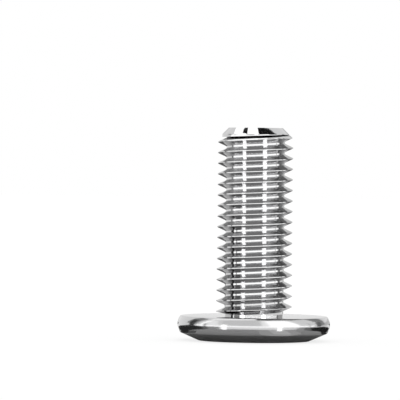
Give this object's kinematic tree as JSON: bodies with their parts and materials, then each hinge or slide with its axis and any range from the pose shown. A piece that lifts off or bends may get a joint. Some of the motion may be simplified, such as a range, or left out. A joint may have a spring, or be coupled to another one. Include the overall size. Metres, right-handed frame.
{
  "type": "flat head socket screw",
  "caption": "Bright steel screw with a wide flat bevelled head, a hexagonal key socket and a thread along the whole shank.",
  "frame": {"origin": "centre of the head's flat face, on the surface that the screw stands on", "axes": "+Z along the shank, from the head's face to the threaded tip"},
  "size_m": [0.0162, 0.0162, 0.0226],
  "materials": {
    "bright_steel": "polished, bright"
  },
  "bodies": {
    "root": {"socket_screw": "bright_steel"}
  },
  "joints": []
}
